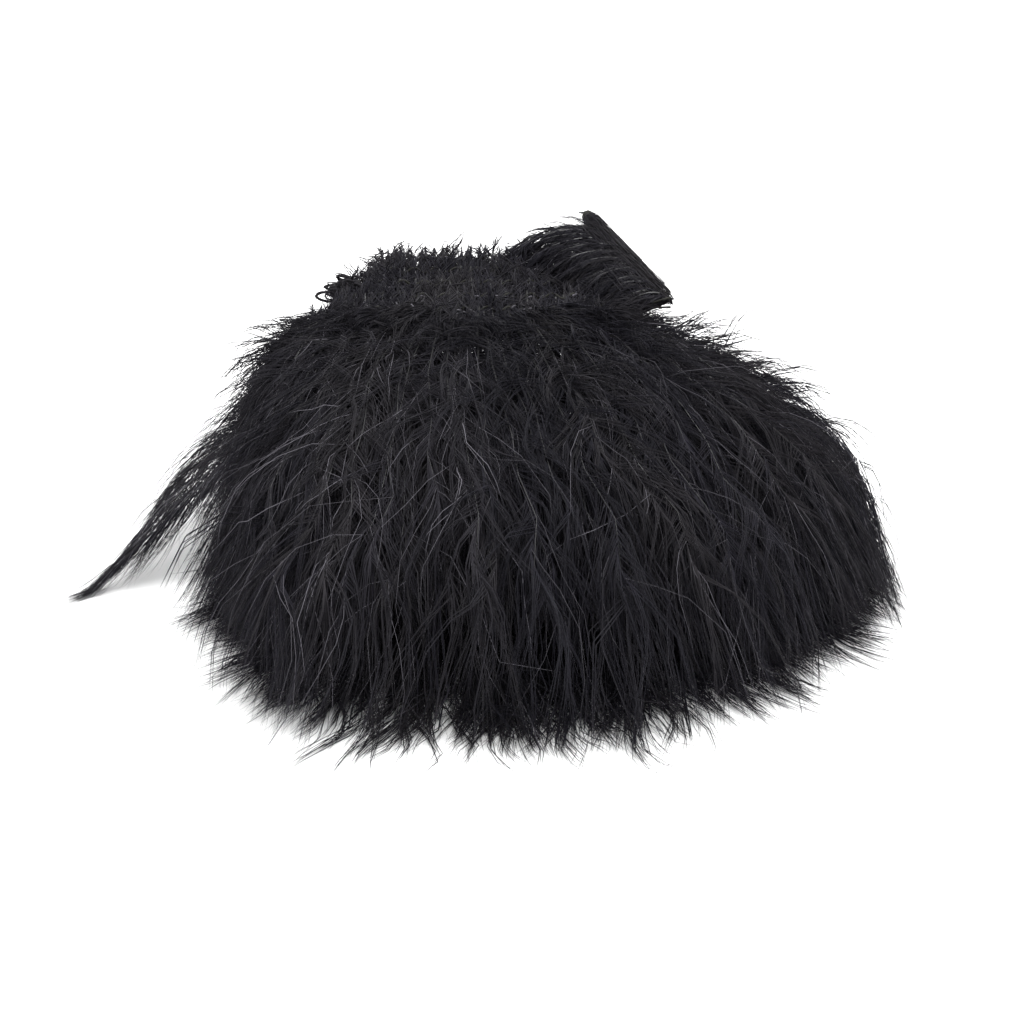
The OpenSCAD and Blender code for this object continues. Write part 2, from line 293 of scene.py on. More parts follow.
def fibre_tone_group():
    group, given, out = new_group(
        "fibre_tone",
        [
            ("Knots", "NodeSocketFloat", 40.0),
            ("Root", "NodeSocketColor", (0.005, 0.005, 0.006, 1)),
            ("Middle", "NodeSocketColor", (0.012, 0.011, 0.014, 1)),
            ("Tip", "NodeSocketColor", (0.03, 0.028, 0.033, 1)),
            ("Painted highlight", "NodeSocketColor", (0.08, 0.078, 0.082, 1)),
        ],
        [("Color", "NodeSocketColor"), ("Grain", "NodeSocketFloat"), ("Lane", "NodeSocketFloat")],
    )
    new, link = group.nodes.new, group.links.new
    uv_map = new("ShaderNodeUVMap")
    uv_map.uv_map = "OFBake"
    split = new("ShaderNodeSeparateXYZ")
    link(uv_map.outputs[0], split.inputs[0])
    u, v = split.outputs[0], split.outputs[1]

    lane = math_node(group, "FLOOR", math_node(group, "MULTIPLY", u, LANES))
    feather = math_node(group, "FLOOR", math_node(group, "MULTIPLY", u, LANES / 16))
    lane_noise = new("ShaderNodeTexWhiteNoise")
    lane_noise.noise_dimensions = "1D"
    link(lane, lane_noise.inputs["W"])
    feather_noise = new("ShaderNodeTexWhiteNoise")
    feather_noise.noise_dimensions = "1D"
    link(math_node(group, "ADD", feather, 0.37), feather_noise.inputs["W"])

    # Tone from root to tip
    low = new("ShaderNodeMix")
    low.data_type = "RGBA"
    link(math_node(group, "MINIMUM", math_node(group, "MULTIPLY", v, 2.5), 1.0), low.inputs["Factor"])
    link(given.outputs["Root"], low.inputs["A"])
    link(given.outputs["Middle"], low.inputs["B"])
    high = new("ShaderNodeMix")
    high.data_type = "RGBA"
    link(math_node(group, "POWER", v, 2.5), high.inputs["Factor"])
    link(low.outputs["Result"], high.inputs["A"])
    link(given.outputs["Tip"], high.inputs["B"])

    # Some feathers took the dye a little warmer than others
    warm = new("ShaderNodeMix")
    warm.data_type = "RGBA"
    warm.blend_type = "MULTIPLY"
    link(math_node(group, "MULTIPLY", feather_noise.outputs["Value"], 0.9), warm.inputs["Factor"])
    link(high.outputs["Result"], warm.inputs["A"])
    warm.inputs["B"].default_value = (1.06, 1.04, 0.6, 1)

    # The last two lanes of each family are bare hairs and glinting quills, painted lighter than the down as a
    # painted highlight
    lane_in_family = math_node(group, "MODULO", math_node(group, "ADD", lane, 0.25), 16.0)
    painted_highlight = math_node(group, "GREATER_THAN", lane_in_family, 14.0)
    painted_highlight_mix = new("ShaderNodeMix")
    painted_highlight_mix.data_type = "RGBA"
    link(painted_highlight, painted_highlight_mix.inputs["Factor"])
    link(warm.outputs["Result"], painted_highlight_mix.inputs["A"])
    link(given.outputs["Painted highlight"], painted_highlight_mix.inputs["B"])

    # The fine knots of the down, unevenly spaced along each fibre
    place = new("ShaderNodeCombineXYZ")
    link(math_node(group, "MULTIPLY", lane, 3.7), place.inputs[0])
    link(math_node(group, "MULTIPLY", v, given.outputs["Knots"]), place.inputs[1])
    knots = new("ShaderNodeTexNoise")
    knots.inputs["Scale"].default_value = 1.0
    knots.inputs["Detail"].default_value = 2.0
    link(place.outputs[0], knots.inputs["Vector"])

    def uneven(value, least, spread):
        return math_node(group, "ADD", math_node(group, "MULTIPLY", value, spread), least)

    lane_gain = uneven(lane_noise.outputs["Value"], 0.8, 0.4)
    feather_gain = uneven(feather_noise.outputs["Value"], 0.55, 0.9)
    knot_gain = uneven(knots.outputs["Fac"], 0.75, 0.5)
    gain = math_node(group, "MULTIPLY", math_node(group, "MULTIPLY", lane_gain, feather_gain), knot_gain)
    tone = new("ShaderNodeVectorMath")
    tone.operation = "SCALE"
    link(painted_highlight_mix.outputs["Result"], tone.inputs[0])
    link(gain, tone.inputs["Scale"])
    link(tone.outputs[0], out.inputs["Color"])
    link(knots.outputs["Fac"], out.inputs["Grain"])
    link(lane_noise.outputs["Value"], out.inputs["Lane"])
    return group


fibre_tone = fibre_tone_group()


def fibre_material(name, root, middle, tip, painted_highlight, knots, rough, bump, sheen, gloss):
    """A dyed fibre: a tone from root to tip, which for the down and the quills holds painted light, a painted
    highlight colour for its highlight lanes, fine grain along it, and a soft sheen.
    """
    material = bpy.data.materials.new(name)
    material.use_nodes = True
    tree = material.node_tree
    surface = tree.nodes["Principled BSDF"]
    tone = tree.nodes.new("ShaderNodeGroup")
    tone.node_tree = fibre_tone
    tone.inputs["Knots"].default_value = knots
    tone.inputs["Root"].default_value = (*root, 1)
    tone.inputs["Middle"].default_value = (*middle, 1)
    tone.inputs["Tip"].default_value = (*tip, 1)
    tone.inputs["Painted highlight"].default_value = (*painted_highlight, 1)
    tree.links.new(tone.outputs["Color"], surface.inputs["Base Color"])
    spread = math_node(tree, "MULTIPLY", tone.outputs["Lane"], rough[1] - rough[0])
    tree.links.new(math_node(tree, "ADD", spread, rough[0]), surface.inputs["Roughness"])
    relief = tree.nodes.new("ShaderNodeBump")
    relief.inputs["Strength"].default_value = bump
    relief.inputs["Distance"].default_value = 0.0001
    tree.links.new(tone.outputs["Grain"], relief.inputs["Height"])
    tree.links.new(relief.outputs[0], surface.inputs["Normal"])
    surface.inputs["Specular IOR Level"].default_value = gloss
    surface.inputs["Sheen Weight"].default_value = sheen
    surface.inputs["Sheen Roughness"].default_value = 0.4
    surface.inputs["Sheen Tint"].default_value = (0.8, 0.8, 0.9, 1)
    return material


cotton = fibre_material(
    "black_cotton_thread",
    root=(0.006, 0.006, 0.0075),
    middle=(0.008, 0.008, 0.0095),
    tip=(0.009, 0.009, 0.011),
    painted_highlight=(0.012, 0.012, 0.014),
    knots=900.0,
    rough=(0.6, 0.8),
    bump=0.5,
    sheen=0.1,
    gloss=0.2,
)

ply_pitch = 0.0016
end_fold = coil_top + np.array([coil_half_w + 0.002, 0, 0.003])
end_peak = coil_top + np.array([coil_half_w - 0.014, 5.2 * turn_step, 0.006])
end_along = unit(end_peak - end_fold)
end_lie = unit(np.array([-0.95, -0.2, 0]))
end_up = unit(np.cross(end_along, end_lie))
end_count = 8
end_places = [mix(end_fold, end_peak, mix(0.25, 1, i / (end_count - 1))) for i in range(end_count)]

coil_seats = run_seats(FIRST_RUN)
for run in range(FIRST_RUN + 1, LAST_RUN + 1):
    coil_seats += bend_seats(run) + run_seats(run)
coil_frames = stitch_frames(coil_seats)
start_dir = unit(coil_frames[0][0] - coil_frames[0][1])
thread_lead = 0.0024


thread_sway = 0.0007


def stitch_path(frames, side, steps):
    """A thread that crosses every quill on one side and dips between them to lock with the other thread."""
    points, outs, alongs = frames
    path = []
    for i in range(len(points) - 1):
        for j in range(steps):
            f = j / steps
            dip = math.sin(math.pi * f) ** 2
            off = side * mix(thread_off, 0.0001, dip)
            sway = side * thread_sway * math.sin(2 * math.pi * f)
            path.append(
                mix(points[i], points[i + 1], f)
                + off * unit(mix(outs[i], outs[i + 1], f))
                + sway * mix(alongs[i], alongs[i + 1], f)
            )
    path.append(points[-1] + side * thread_off * outs[-1])
    return np.array(path)


def thread_piece(name, path, body):
    rings, gone = tube(path, np.full(len(path), thread_r * 0.9), 8, lobes=0.3, twist=2 * math.pi / ply_pitch)
    points, faces, places = skin(rings, gone / gone[-1], (0.5 / LANES, 0.4 / LANES))
    piece = object_from("cotton_" + name, [(points, faces, places, 0)], [cotton])
    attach(piece, body)
    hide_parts(name)


def with_ends(frames, before, after):
    """The frames with one more at each end, for the run to a knot or to the fold."""
    points, outs, alongs = frames
    return (
        np.vstack([before[0], points, after[0]]),
        np.vstack([before[1], outs, after[1]]),
        np.vstack([before[2], alongs, after[2]]),
    )


coil_line = with_ends(
    coil_frames,
    (coil_frames[0][0] + thread_lead * start_dir, coil_frames[1][0], axis_v),
    (end_fold - 0.0016 * end_along, end_up, end_lie),
)
end_line = with_ends(
    (np.array(end_places), np.tile(end_up, (end_count, 1)), np.tile(end_lie, (end_count, 1))),
    (end_fold + 0.0012 * end_along, end_up, end_lie),
    (end_peak + thread_lead * end_along, end_up, end_lie),
)
thread_piece("needle_thread", stitch_path(coil_line, 1, 8), "coil")
thread_piece("looper_thread", stitch_path(coil_line, -1, 8), "coil")
thread_piece("loose_end_needle_thread", stitch_path(end_line, 1, 10), "loose_end")
thread_piece("loose_end_looper_thread", stitch_path(end_line, -1, 10), "loose_end")

# ---------------------------------------------------------------------------------------------
# The knots at the two ends of the string: both threads wound five times round themselves and
# pulled tight, with two short cut tails.
# ---------------------------------------------------------------------------------------------

knot_r = 0.0022
knot_len = 0.004
knot_turns = 5


def knot_piece(name, place, direction, body):
    forward = unit(direction)
    across = unit(np.cross(forward, [0.2, 0.3, 0.9]))
    other = np.cross(forward, across)
    start = place + (thread_lead + 0.00005) * forward
    bits = []
    turn = np.linspace(0, 1, 110)
    angle = turn * 2 * math.pi * knot_turns
    swell = knot_r * mix(0.4, 0.55, np.sin(math.pi * turn))
    wound = (
        start
        + np.outer(0.0005 + turn * (knot_len - 0.001), forward)
        + np.outer(swell * np.cos(angle), across)
        + np.outer(swell * np.sin(angle), other)
    )
    rings, gone = tube(wound, np.full(len(wound), 0.0004), 8, lobes=0.2, twist=2 * math.pi / 0.0024)
    bits.append((*skin(rings, gone / gone[-1], (0.5 / LANES, 0.4 / LANES)), 0))
    core = np.array([start + forward * (0.0002 + knot_len * 0.88 * f) for f in np.linspace(0, 1, 7)])
    core_r = knot_r * np.array([0.2, 0.34, 0.42, 0.45, 0.42, 0.34, 0.2])
    rings, gone = tube(core, core_r, 10)
    bits.append((*skin(rings, gone / gone[-1], (2.5 / LANES, 0.4 / LANES)), 0))
    for lean in (-0.35, 0.45):
        f = np.linspace(0, 1, 14)
        tail = (
            start
            + np.outer(knot_len * 0.85 + 0.0022 * f, forward)
            + np.outer(lean * 0.003 * f**1.5, across)
            + np.outer(lean * 0.001 * np.sin(5 * f), other)
        )
        rings, gone = tube(tail, mix(0.0003, 0.0002, f), 8, lobes=0.3, twist=2 * math.pi / ply_pitch)
        bits.append((*skin(rings, gone / gone[-1], (4.5 / LANES, 0.4 / LANES)), 0))
    piece = object_from("cotton_" + name, bits, [cotton])
    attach(piece, body)
    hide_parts(name)


knot_piece("start_knot", coil_frames[0][0], start_dir, "coil")
knot_piece("end_knot", end_peak, end_along, "loose_end")

# ---------------------------------------------------------------------------------------------
# The marabou: soft young down feathers, dyed black, sewn in by their quills in bunches of three.
# Each has a fine shaft with long silky barbs that leave it in tufts and close over its tip.
# The bunches pour out of the mouth of the coil, fan over the front and sides, and droop.
# ---------------------------------------------------------------------------------------------

plume_len = 0.1
butt_len = 0.006
front_reach = 0.077
side_reach = 0.076
skirt_h = 0.024
low_tip_z = -0.0008
skirt_mid = (0.017, -0.0055)
fan_right, fan_left = math.radians(108), math.radians(100)
tip_droop = math.radians(42)
tip_draw = 0.55
right_flat, left_flat = -0.15, 0.7
side_gather = 0.34
front_bow, side_bow = 0.042, 0.028
front_fall, side_fall = 0.036, 0.024


def plume_field(x, z, k, s, gather):
    """Points on the plumes: a place in the mouth of the coil, the turn, and how far from the stitching."""
    xs, zs = x / coil_half_w, z / coil_half_h
    root = mouth(x, z)
    lead = turn_step * k
    out = unit(
        -np.multiply.outer(1 - 0.25 * np.abs(xs), axis_v)
        + np.multiply.outer(1.3 * xs, side_v)
        + np.multiply.outer(0.55 * zs * gather, up_v)
    )
    k1 = root + mix(front_bow, side_bow, xs**2)[..., None] * out
    tip_z = mix(low_tip_z, skirt_h, (zs * gather + 1) / 2)
    k1[..., 2] = np.maximum(k1[..., 2], tip_z)
    phi = xs * np.where(xs > 0, fan_right, fan_left)
    bulge = np.where(xs > 0, -0.05, 0.12) * np.sin(2 * phi) ** 2 + np.where(xs > 0, 0.14, 0.01) * xs**2
    rho = mix(front_reach, side_reach, xs**2) * (1 + bulge) - tip_draw * lead
    rho = rho + 0.0025 * (1 - zs) * np.cos(phi) ** 4
    k3 = np.stack([skirt_mid[0] + rho * np.sin(phi), skirt_mid[1] - rho * np.cos(phi), tip_z], axis=-1)
    fall = tip_droop * (1 - np.where(xs > 0, right_flat, left_flat) * xs**2) * (zs + 1) / 2
    land = np.stack([np.sin(phi) * np.cos(fall), -np.cos(phi) * np.cos(fall), -np.sin(fall)], axis=-1)
    k2 = k3 - mix(front_fall, side_fall, xs**2)[..., None] * land
    v = (np.maximum(s - lead, 0) / plume_len)[..., None]
    w = 1 - v
    free = w**3 * root + 3 * w**2 * v * k1 + 3 * w * v**2 * k2 + v**3 * k3
    straight = root + np.multiply.outer(lead - s, axis_v)
    return np.where((s < lead)[..., None], straight, free)


def spikes(paths, radii, lanes):
    """Closed three-sided barbs along these paths, all with the same number of stations."""
    n, m = paths.shape[:2]
    along = unit(np.gradient(paths, axis=1))
    across = np.stack([np.cos(lanes * 91.0), np.sin(lanes * 57.0), np.cos(lanes * 33.0 + 1)], axis=-1)
    a = unit(np.cross(along, across[:, None]))
    b = np.cross(along, a)
    rings = np.stack(
        [
            paths[:, :-1] + radii[:, :-1, None] * (math.cos(t) * a[:, :-1] + math.sin(t) * b[:, :-1])
            for t in (0, 2 * math.pi / 3, 4 * math.pi / 3)
        ],
        axis=2,
    )
    points = np.concatenate([rings.reshape(n, -1, 3), paths[:, -1:]], axis=1)
    quads = [
        (3 * i + j, 3 * i + (j + 1) % 3, 3 * i + 3 + (j + 1) % 3, 3 * i + 3 + j)
        for i in range(m - 2)
        for j in range(3)
    ]
    last = 3 * (m - 2)
    caps = [(2, 1, 0)] + [(last + j, last + (j + 1) % 3, last + 3) for j in range(3)]
    corner_row = np.array([c for face in quads + caps for c in face])
    total_row = np.array([4] * len(quads) + [3] * len(caps))
    corners = (corner_row[None] + (np.arange(n) * (3 * m - 2))[:, None]).ravel()
    totals = np.tile(total_row, n)
    lane_u = (np.floor(lanes * (LANES - 16)) + 0.15) / LANES
    v = np.linspace(0.004, 0.996, m)
    u = np.concatenate([np.tile([0.0, 0.7, 0.35], m - 1), [0.35]]) / LANES
    places = np.empty((n, 3 * m - 2, 2))
    places[..., 0] = lane_u[:, None] + u
    places[..., 1] = np.concatenate([np.repeat(v[:-1], 3), v[-1:]])
    return points.reshape(-1, 3), (corners, totals), places.reshape(-1, 2)


def feather_bunches(seats, rng, each, shortest):
    """The feathers sewn in at these seats, with the small differences that no two share."""
    x, z, k, angle = np.repeat(np.array(seats, float), each, axis=0).T
    n = len(x)
    turned = np.radians(angle)
    member = np.tile(np.arange(each) - (each - 1) / 2, n // each)
    along = member * quill_pitch / (each + 0.3) + rng.normal(0, 0.0003, n)
    out = rng.normal(0, 0.0003, n)
    return {
        "x": x - np.sin(turned) * along + np.cos(turned) * out,
        "z": z + np.cos(turned) * along + np.sin(turned) * out,
        "k": k,
        "turned": turned,
        "gather": np.where(np.isin(angle, (0, 180)), side_gather, 1.0),
        "stray_x": rng.normal(0, 0.0022, n),
        "stray_z": rng.normal(0, 0.0013, n),
        "reach": plume_len * np.where(
            np.arange(n) % each == 1, rng.uniform(1.0, 1.07, n), rng.uniform(shortest, 1.06, n)
        ),
        "butt": butt_len * rng.uniform(0.12, 0.35, n),
        "family": np.repeat(rng.integers(0, (LANES - 16) // 16, n // each), each),
        "phase": rng.normal(0, 0.35, n),
    }


eddy_size = 0.0024


def spine(f, pick, s):
    """Points on the shafts of the picked feathers, each wandering a little as it runs out."""
    gone = np.clip((s - turn_step * f["k"][pick]) / plume_len, 0, 1.1) ** 1.5
    place = plume_field(
        f["x"][pick] + f["stray_x"][pick] * gone,
        f["z"][pick] + f["stray_z"][pick] * gone,
        f["k"][pick],
        s,
        f["gather"][pick],
    )
    x, y, z = np.moveaxis(place, -1, 0)
    layer = 2.3 * f["k"][pick] + f["phase"][pick]
    eddy = np.stack(
        [
            np.sin(190 * y + 110 * z + layer),
            0.7 * np.sin(160 * x - 90 * y + 1.7 * layer),
            0.5 * np.sin(210 * x + 120 * y + layer),
        ],
        axis=-1,
    )
    return place + (eddy_size * gone)[..., None] * eddy


def feather_axes(f, pick, s):
    """A feather's place and its own three directions at s: forwards, across its vane, and outwards."""
    step = 0.0012
    here = spine(f, pick, s)
    forward = unit(spine(f, pick, s + step) - here)
    outward = (
        np.cos(f["turned"][pick])[..., None] * side_v
        + np.sin(f["turned"][pick])[..., None] * up_v
    )
    across = unit(np.cross(forward, outward))
    return here, forward, across, np.cross(across, forward)


droop = 0.017
comb = 0.011
tuft = 5
# The last two lanes of each family take the painted highlight colour.
DOWN_LANES, PAINTED_HIGHLIGHT_LANES = (0, 14), (14, 16)


def barb_paths(f, pick, s0, s1, wide, high, curl, floor_gap, t):
    """Barbs of the picked feathers: from their roots on the shaft to their tips beside it."""
    s = s0[:, None] + (s1 - s0)[:, None] * t
    many = np.repeat(pick[:, None], len(t), axis=1)
    here, forward, across, outward = feather_axes(f, many, s)
    spread = 1 - (1 - t) ** 1.7
    side = wide[:, None] * spread + curl[:, :1] * t**2
    lift = high[:, None] * spread + curl[:, 1:] * t**2
    paths = here + side[..., None] * across + lift[..., None] * outward
    hanging = np.clip((s - turn_step * f["k"][many]) / plume_len, 0, 1.1)
    paths[..., 2] -= droop * hanging**2 * t**1.5
    paths[..., 1] -= comb * np.abs(f["x"][many]) / coil_half_w * hanging**2 * t**1.5
    paths[..., 2] = np.maximum(paths[..., 2], floor_gap[:, None])
    return paths


fringe_right, right_room = 0.09, 0.0155
fringe_front, front_room = -0.084, 0.013


def draw_in(paths):
    """The outermost tips on the right and in front, drawn in to where the fringe ends."""
    right, front = paths[..., 0] - fringe_right, fringe_front - paths[..., 1]
    right_end = fringe_right + right_room * np.tanh(right / right_room)
    front_end = fringe_front - front_room * np.tanh(front / front_room)
    paths[..., 0] = np.where(right > 0, right_end, paths[..., 0])
    paths[..., 1] = np.where(front > 0, front_end, paths[..., 1])


def vane(f, rng, per_side):
    """The long barbs: rows on both sides of every shaft, closing over its tip in a fan of small tufts."""
    n = len(f["x"])
    rows = []
    for side in (-1, 1):
        pick = np.repeat(np.arange(n), per_side)
        i = np.tile(np.arange(per_side), n)
        group = i // tuft + np.repeat(np.arange(n), per_side) * (per_side // tuft + 1)
        groups = group.max() + 1
        lead = turn_step * f["k"][pick]
        total = lead + f["reach"][pick]
        begin = np.maximum(0.006, lead * 0.7)
        shaft_end = lead + 0.86 * f["reach"][pick]
        s0 = begin + (shaft_end - begin) * ((i + rng.uniform(0, 1, len(i))) / per_side) ** 0.8
        group_s = begin + (shaft_end - begin) * (((i // tuft) * tuft + tuft / 2) / per_side) ** 0.8
        near_tip = np.clip((group_s - lead) / (shaft_end - lead), 0, 1)
        lean = mix(0.62, 0.18, near_tip**1.5) + rng.normal(0, 0.28, groups)[group]
        length = rng.uniform(0.014, 0.024, groups)[group] + rng.normal(0, 0.0012, len(i))
        length = length * np.clip(0.4 + 2 * near_tip, 0.4, 1)
        s1 = np.minimum(group_s + length * np.cos(lean), total + rng.uniform(-0.002, 0.007, groups)[group])
        s1 = np.maximum(s1 + rng.normal(0, 0.0008, len(i)), s0 + 0.006)
        roll = rng.normal(0.1, 0.48, groups)[group]
        sideways = side * length * np.sin(lean) + rng.normal(0, 0.0005, len(i))
        squeeze = np.where(f["gather"][pick] < 1, 0.6, 1.0)
        wide = sideways * np.cos(roll)
        high = np.abs(sideways) * np.sin(roll) + rng.normal(0, 0.0005, len(i))
        curl = rng.normal(0, 0.0021, (groups, 2))[group] * np.clip(0.3 + near_tip, 0, 1)[:, None]
        curl += rng.normal(0, 0.0007, (len(i), 2))
        rows.append((pick, s0, s1, wide * squeeze, high, curl))
    return [np.concatenate(column) for column in zip(*rows)]


def base_fluff(f, rng, each):
    """The short down round the foot of every quill, in locks that hide most of the stitching."""
    n = len(f["x"])
    pick = np.repeat(np.arange(n), each)
    m = len(pick)
    lock = np.tile(np.arange(each) // 6, n) + pick * (each // 6 + 1)
    locks = lock.max() + 1
    backwards = (rng.uniform(0, 1, locks) < 0.14)[lock]
    s0 = rng.uniform(-0.0035, 0.008, locks)[lock] + rng.normal(0, 0.0015, m)
    reach = rng.uniform(0.007, 0.016, locks)[lock] + rng.normal(0, 0.001, m)
    s1 = s0 + np.where(backwards, -0.4, 1) * reach
    s1 = np.where(backwards, np.maximum(s1, -0.0055), s1)
    wide = rng.normal(0, 0.0030, locks)[lock] + rng.normal(0, 0.0007, m)
    high = rng.normal(0.0009, 0.0015, locks)[lock] + rng.normal(0, 0.0005, m)
    curl = rng.normal(0, 0.0012, (locks, 2))[lock] + rng.normal(0, 0.0004, (m, 2))
    return pick, s0, s1, wide, high, curl


def painted_glints(f, rng, share):
    """Ends of broken quills that lie askew in the down, painted light in the highlight lanes as glints."""
    pick = np.flatnonzero(rng.uniform(0, 1, len(f["x"])) < share)
    m = len(pick)
    s0 = rng.uniform(-0.001, 0.004, m)
    wide = rng.choice([-1.0, 1.0], m) * rng.uniform(0.0012, 0.003, m)
    s1 = s0 + rng.uniform(0.0005, 0.0015, m)
    high = rng.uniform(0.0012, 0.0024, m)
    return pick, s0, s1, wide, high, np.zeros((m, 2))


def stray_hairs(f, rng, each):
    """A few finer barbs of every feather that have sprung out of its tufts."""
    n = len(f["x"])
    pick = np.repeat(np.arange(n), each)
    m = len(pick)
    lead = turn_step * f["k"][pick]
    s0 = lead + f["reach"][pick] * rng.uniform(0.1, 0.86, m)
    s1 = np.minimum(s0 + rng.uniform(0.012, 0.027, m), lead + f["reach"][pick] + 0.008)
    loose = np.clip(2.2 * (s0 - lead) / plume_len, 0.2, 1)
    wide = rng.normal(0, 0.0105, m) * loose
    high = rng.normal(0.002, 0.0028, m) * loose
    return pick, s0, np.maximum(s1, s0 + 0.006), wide, high, rng.normal(0, 0.003, (m, 2))


def barbs(f, rng, parts, thickness, stations, lanes, kink=0.0):
    """Closed barbs for these parts. lanes are those of its family that they may take."""
    pick, s0, s1, wide, high, curl = parts
    t = np.linspace(0, 1, stations) ** 1.1
    floor_gap = rng.uniform(0.0002, 0.0022, len(pick))
    paths = barb_paths(f, pick, s0, s1, wide, high, curl, floor_gap, t)
    if kink:
        paths[:, 1:] += np.cumsum(rng.normal(0, kink, paths[:, 1:].shape), axis=1)
        paths[..., 2] = np.maximum(paths[..., 2], 0.0002)
    draw_in(paths)
    radii = np.outer(thickness * rng.uniform(0.7, 1.25, len(pick)), 1.05 - 0.8 * t**2.2)
    lane = (f["family"][pick] * 16 + rng.integers(*lanes, len(pick)) + 0.5) / (LANES - 16)
    return (*spikes(paths, radii, lane), 0)


def shafts(f, rng):
    """The quills: a cut horn butt behind the stitching and a shaft that thins out to nothing."""
    bits = []
    for i in range(len(f["x"])):
        lead = turn_step * f["k"][i]
        stations = np.concatenate([
            [-f["butt"][i], -f["butt"][i] * 0.93, 0.0, 0.006],
            lead + 0.006 + (0.8 * f["reach"][i] - 0.006) * np.linspace(0, 1, 8)[1:] ** 1.1,
        ])
        pick = np.full(len(stations), i)
        path = spine(f, pick, stations)
        path[:, 2] = np.maximum(path[:, 2], quill_r)
        shrink = np.linspace(0, 1, len(stations) - 4)
        radii = quill_r * np.concatenate([[0.4, 0.62, 0.66, 0.55], mix(0.42, 0.1, shrink)])
        rings, _ = tube(path, radii, 5)
        # Two lanes in sixteen give a quill the painted highlight colour, a painted glint.
        lane = LANES - 16 + rng.integers(0, 16)
        v = (stations + f["butt"][i]) / (stations[-1] + f["butt"][i])
        bits.append((*skin(rings, v, ((lane + 0.15) / LANES, 0.7 / LANES)), 1))
    return bits


# Painted light in the down: the root is painted lighter than the middle to brighten the head, the tip is
# painted lighter for light shining through the thin tips, and the highlight colour is a painted highlight on
# bare hairs and glints.
down = fibre_material(
    "black_marabou_down",
    root=(0.0112, 0.0101, 0.0184),
    middle=(0.0056, 0.0050, 0.0102),
    tip=(0.0104, 0.0094, 0.0176),
    painted_highlight=(0.105, 0.100, 0.115),
    knots=26.0,
    rough=(0.5, 0.75),
    bump=0.3,
    sheen=0.03,
    gloss=0.16,
)
# Painted highlight in the quills: the root is painted lighter than the middle as a glint on the glossy butts,
# and the highlight colour paints a glint on two quills in sixteen.
quill_horn = fibre_material(
    "black_quill_horn",
    root=(0.007, 0.0066, 0.0076),
    middle=(0.005, 0.0047, 0.0064),
    tip=(0.007, 0.0066, 0.0095),
    painted_highlight=(0.018, 0.017, 0.019),
    knots=12.0,
    rough=(0.22, 0.4),
    bump=0.15,
    sheen=0.0,
    gloss=0.5,
)

# The down that shows is on the outer turns, so their barbs are finer and more of them.
barbs_per_side = {1: 18, 2: 22, 3: 34, 4: 64, 5: 89}
barb_r = {1: 0.0002, 2: 0.0002, 3: 0.00018, 4: 0.00013, 5: 0.0001}
fluff_r, hair_r, kinked_hair_r, painted_glint_r = 0.00012, 0.00005, 0.00007, 0.0003
few_fluff = 24
bodies = {
    "turn_5_top_plumes": "top_plumes",
    "turn_5_left_plumes": "left_plumes",
    "turn_5_right_plumes": "right_plumes",
}
sides = {"right": RIGHT, "bottom": BOTTOM, "left": LEFT, "top": TOP}
stray_run = LAST_RUN - 1
stray_place = len(run_seats(stray_run)) // 2


def plume_piece(node, seats, turn, seed, part="", each=3, shortest=0.9, fluff=few_fluff):
    rng = np.random.default_rng(seed)
    f = feather_bunches(seats, rng, each, shortest)
    hairs = 8 if turn > 3 else 2
    bits = [
        barbs(f, rng, vane(f, rng, barbs_per_side[turn]), barb_r[turn], 5 if turn == 5 else 4, DOWN_LANES),
        barbs(f, rng, base_fluff(f, rng, fluff), fluff_r, 4, DOWN_LANES),
        # The stray hairs take the painted highlight lanes.
        barbs(f, rng, stray_hairs(f, rng, hairs), hair_r, 6, PAINTED_HIGHLIGHT_LANES, kink=0.0004),
        *shafts(f, rng),
    ]
    if node == "turn_5_top_plumes":
        pick, *rest = stray_hairs(f, rng, 3)
        left = f["x"][pick] < -0.004
        kinked = (pick[left], *(column[left] for column in rest))
        # The kinked hairs take the painted highlight lanes too.
        bits.append(barbs(f, rng, kinked, kinked_hair_r, 8, PAINTED_HIGHLIGHT_LANES, kink=0.0007))
    if fluff > few_fluff:
        # Painted glints: short barbs coloured with the painted highlight
        bits.append(barbs(f, rng, painted_glints(f, rng, 0.4), painted_glint_r, 4, PAINTED_HIGHLIGHT_LANES))
    piece = object_from("marabou_" + node.replace("_plumes", "") + part, bits, [down, quill_horn])
    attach(piece, bodies.get(node, "coil"))
    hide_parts(node)


for turn in range(1, 6):
    for side_name, side in sides.items():
        run = 4 * (turn - 1) + side
        if run < FIRST_RUN:
            continue
        seats = run_seats(run)
        if run == stray_run:
            del seats[stray_place]
        top = {"shortest": 0.45, "fluff": 86} if side == TOP else {}
        plume_piece(f"turn_{turn}_{side_name}_plumes", seats, turn, 100 + run, **top)
    bend_runs = range(max(FIRST_RUN + 1, 4 * (turn - 1)), 4 * turn)
    for part, part_sides in (("_upper", (TOP, RIGHT)), ("_lower", (BOTTOM, LEFT))):
        seats = [seat for run in bend_runs if run % 4 in part_sides for seat in bend_seats(run)]
        upper = {"shortest": 0.6, "fluff": 60} if part == "_upper" else {}
        seed = 200 + 10 * turn + part_sides[0]
        if seats:
            plume_piece(f"turn_{turn}_bend_plumes", seats, turn, seed, part, 4, **upper)


# ---------------------------------------------------------------------------------------------
# The loose end of the string, folded back over the right shoulder of the coil: short feathers sewn
# in side by side, which lie flat to the left, and down that clings round the threads to the knot.
# ---------------------------------------------------------------------------------------------


